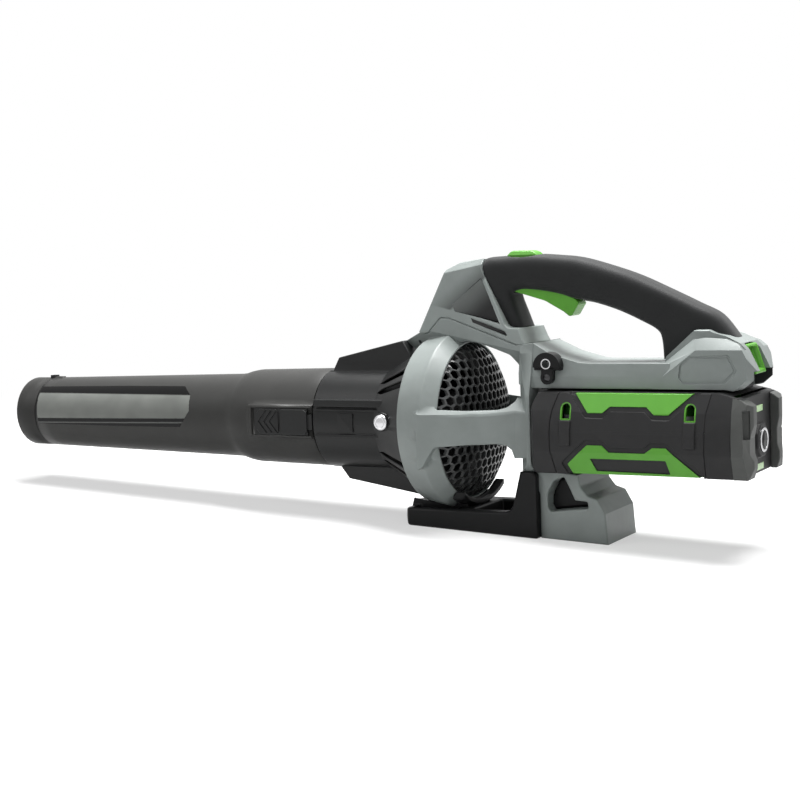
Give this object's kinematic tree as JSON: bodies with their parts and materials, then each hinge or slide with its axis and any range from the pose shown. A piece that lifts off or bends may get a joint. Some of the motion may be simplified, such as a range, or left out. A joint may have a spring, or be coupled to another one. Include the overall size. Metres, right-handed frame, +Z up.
{
  "type": "leaf blower",
  "caption": "Handheld cordless axial leaf blower with a tapered tube, domed honeycomb intake, loop handle and slide-on battery pack.",
  "frame": {"origin": "on the floor, under the middle of the whole machine's length and width", "axes": "+X from the nozzle to the battery, along the machine's length; +Y to the machine's right as it is held; +Z up"},
  "size_m": [0.8914, 0.1812, 0.2786],
  "materials": {
    "housing": "satin moulded, mid grey",
    "shell": "satin moulded, mid grey",
    "tube": "satin charcoal",
    "duct": "satin black",
    "black": "matt black",
    "inner": "matt black",
    "soft_grip": "soft matt black",
    "green": "satin green",
    "pack": "fine textured black grey",
    "window": "translucent green",
    "steel": "bright steel",
    "windings": "copper windings",
    "alloy": "cast, bare",
    "board": "coated board",
    "cells": "sleeved cells",
    "contacts": "plated"
  },
  "bodies": {
    "body": {"outlet_duct": "duct", "barrel_screws": "steel", "fan_shroud": "inner", "tail_cone": "inner", "motor_housing": "inner", "motor_stator": "windings", "motor_end_plate": "alloy", "motor_bearings": "steel", "housing_left": "housing", "housing_right": "housing", "intake_grille": "black", "base_stand": "black", "housing_screws": "steel", "handle_shell_left": "shell", "handle_shell_right": "shell", "side_inserts": "black", "grip": "soft_grip", "trigger_pin": "steel", "trigger_spring": "steel", "main_switch": "black", "boost_switch": "black", "strap_lug": "black", "lug_eyelet": "steel", "lug_screw": "steel", "controller_board": "board", "board_capacitors": "inner", "terminal_block": "black", "terminal_blades": "contacts", "release_pin": "steel"},
    "tube": {"nozzle_ring": "black", "blow_tube": "tube"},
    "tube_latch": {"tube_latch": "duct"},
    "rotor": {"motor_rotor": "steel", "fan": "inner", "fan_nut": "steel"},
    "trigger": {"trigger": "green"},
    "boost_button": {"boost_button": "green"},
    "battery_release": {"battery_release": "green"},
    "battery": {"pack_shell_upper": "pack", "pack_shell_lower": "pack", "pack_front_cap": "pack", "pack_rear_cap": "pack", "pack_inlays": "green", "pack_vent_liners": "green", "pack_cells": "cells", "pack_bumpers": "pack", "gauge_windows": "window", "gauge_ring": "steel"},
    "gauge_button": {"gauge_button": "black"}
  },
  "joints": [
    {"name": "tube_slide", "type": "slide", "parent": "body", "child": "tube", "axis": [-0.999, 0, -0.0454], "range_m": [0, 0.075]},
    {"name": "tube_latch_slide", "type": "slide", "parent": "tube", "child": "tube_latch", "axis": [-0.999, 0, -0.0454], "range_m": [0, 0.0035], "stiffness_N_per_m": 400, "springref_m": -0.003},
    {"name": "fan_spin", "type": "hinge", "parent": "body", "child": "rotor", "pos_m": [0.10259, 0, 0.10477], "axis": [-0.999, 0, -0.0454], "continuous": true},
    {"name": "trigger_squeeze", "type": "hinge", "parent": "body", "child": "trigger", "pos_m": [0.19037, 0, 0.2439], "axis": [0, -1, 0], "range_deg": [0, 10], "stiffness_Nm_per_rad": 0.8, "springref_deg": -8.59},
    {"name": "boost_press", "type": "slide", "parent": "body", "child": "boost_button", "axis": [0.0454, 0, -0.999], "range_m": [0, 0.003], "stiffness_N_per_m": 500, "springref_m": -0.003},
    {"name": "release_press", "type": "hinge", "parent": "body", "child": "battery_release", "pos_m": [0.41541, 0, 0.18204], "axis": [0, 1, 0], "range_deg": [0, 8], "stiffness_Nm_per_rad": 0.8, "springref_deg": -8.59},
    {"name": "battery_slide", "type": "slide", "parent": "body", "child": "battery", "axis": [0.999, 0, 0.0454], "range_m": [0, 0.22]},
    {"name": "gauge_press", "type": "slide", "parent": "battery", "child": "gauge_button", "axis": [-0.999, 0, -0.0454], "range_m": [0, 0.001], "stiffness_N_per_m": 400, "springref_m": -0.002}
  ]
}
